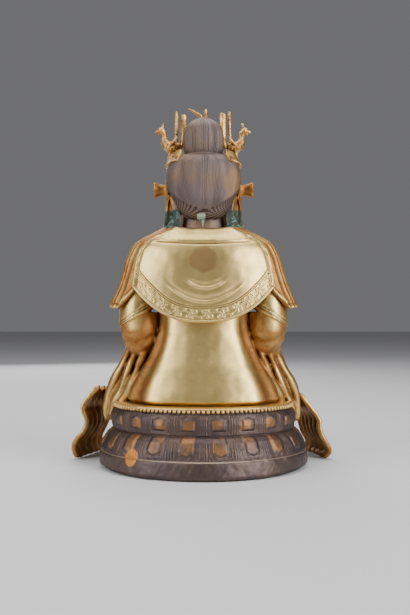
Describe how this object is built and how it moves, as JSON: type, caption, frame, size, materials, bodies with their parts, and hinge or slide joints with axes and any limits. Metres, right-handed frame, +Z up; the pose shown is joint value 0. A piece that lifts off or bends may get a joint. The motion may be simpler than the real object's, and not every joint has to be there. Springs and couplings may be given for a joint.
{
  "type": "bronze deity statuette",
  "caption": "Gilt bronze deity seated cross-legged in a lobed shoulder cape on a double-lotus plinth, with a phoenix crown.",
  "frame": {"origin": "middle of the plinth's underside, on the surface it stands on", "axes": "+Z up through the head; the figure faces -Y, and its left hand side is +X"},
  "size_m": [0.1731, 0.125, 0.2333],
  "materials": {
    "gilt_bronze": "worn fire gilding over cast bronze",
    "crown_bronze": "rubbed gilding over cast bronze",
    "dark_bronze": "dark brown patina with traces of gilding"
  },
  "bodies": {
    "root": {"lotus_plinth": "dark_bronze", "seated_figure": "gilt_bronze", "phoenix_crown": "crown_bronze"}
  },
  "joints": []
}
